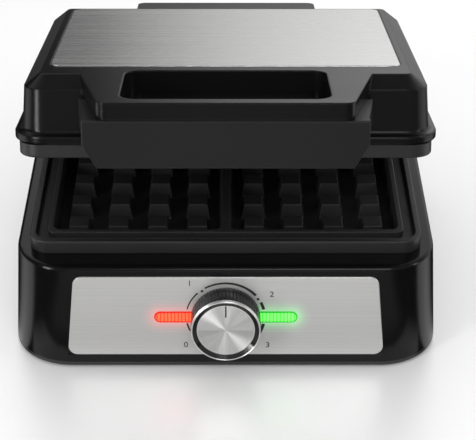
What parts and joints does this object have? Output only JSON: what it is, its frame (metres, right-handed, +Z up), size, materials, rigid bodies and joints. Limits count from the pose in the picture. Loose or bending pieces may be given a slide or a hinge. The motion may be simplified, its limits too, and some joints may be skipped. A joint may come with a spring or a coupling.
{
  "type": "waffle maker",
  "caption": "Waffle maker with a flared base, a steel control panel and dial, and a hinged lid with a loop handle that closes one ridged plate on another.",
  "frame": {"origin": "on the table, under the middle of the object's box with the lid standing as in the picture", "axes": "+X to the right seen from the front, +Y to the back, +Z up"},
  "size_m": [0.2588, 0.277, 0.1906],
  "materials": {
    "base_black": "gloss",
    "cover_black": "satin",
    "foot_rubber": "matt",
    "zinc": "zinc plated",
    "panel_steel": "brushed",
    "red_lens": "clear tinted, lit",
    "green_lens": "clear tinted, lit",
    "board": "satin",
    "switch_plastic": "satin",
    "nonstick": "coated, satin",
    "element_steel": "oxidised",
    "tray_aluminium": "rolled",
    "lead_sleeve": "woven sleeve",
    "lid_black": "satin",
    "lid_steel": "brushed",
    "frame_grey": "satin",
    "handle_grey": "matt",
    "hinge_grey": "satin",
    "bush_brass": "turned",
    "knob_black": "ribbed gloss",
    "knob_steel": "spun"
  },
  "bodies": {
    "base": {"base_housing": "base_black", "bottom_cover": "cover_black", "rubber_feet": "foot_rubber", "bottom_cover_screws": "zinc", "control_panel": "panel_steel", "red_light_bar": "red_lens", "green_light_bar": "green_lens", "lamp_board": "board", "red_lamp": "red_lens", "green_lamp": "green_lens", "thermostat": "switch_plastic", "thermostat_bracket": "zinc", "thermostat_nut": "zinc", "thermostat_bulb": "zinc", "lower_waffle_plate": "nonstick", "lower_heating_element": "element_steel", "lower_element_straps": "zinc", "lower_strap_screws": "zinc", "lower_heat_reflector": "tray_aluminium", "terminal_block": "switch_plastic", "thermal_fuse": "zinc", "base_leads": "lead_sleeve", "cord_clamp": "switch_plastic", "cord_clamp_screws": "zinc", "cord_bush": "foot_rubber", "hinge_pins": "zinc", "left_hinge_ear": "base_black", "right_hinge_ear": "base_black"},
    "lid": {"lid_housing": "lid_black", "lid_top_panel": "lid_steel", "lid_frame": "frame_grey", "handle_apron": "handle_grey", "hinge_block": "hinge_grey", "hinge_bushes": "bush_brass", "hinge_friction_washers": "zinc", "handle_screws": "zinc", "frame_screws": "zinc", "upper_waffle_plate": "nonstick", "upper_heating_element": "element_steel", "upper_element_straps": "zinc", "upper_strap_screws": "zinc", "upper_heat_reflector": "tray_aluminium"},
    "knob": {"knob_skirt": "knob_black", "knob_cap": "knob_steel", "thermostat_shaft": "zinc"}
  },
  "joints": [
    {"name": "lid_hinge", "type": "hinge", "parent": "base", "child": "lid", "pos_m": [0, 0.127, 0.082], "axis": [-1, 0, 0], "range_deg": [-14, 84]},
    {"name": "dial_turn", "type": "hinge", "parent": "base", "child": "knob", "pos_m": [0, -0.11374, 0.03678], "axis": [0, 0.9976, -0.0698], "range_deg": [-126, 126]}
  ]
}
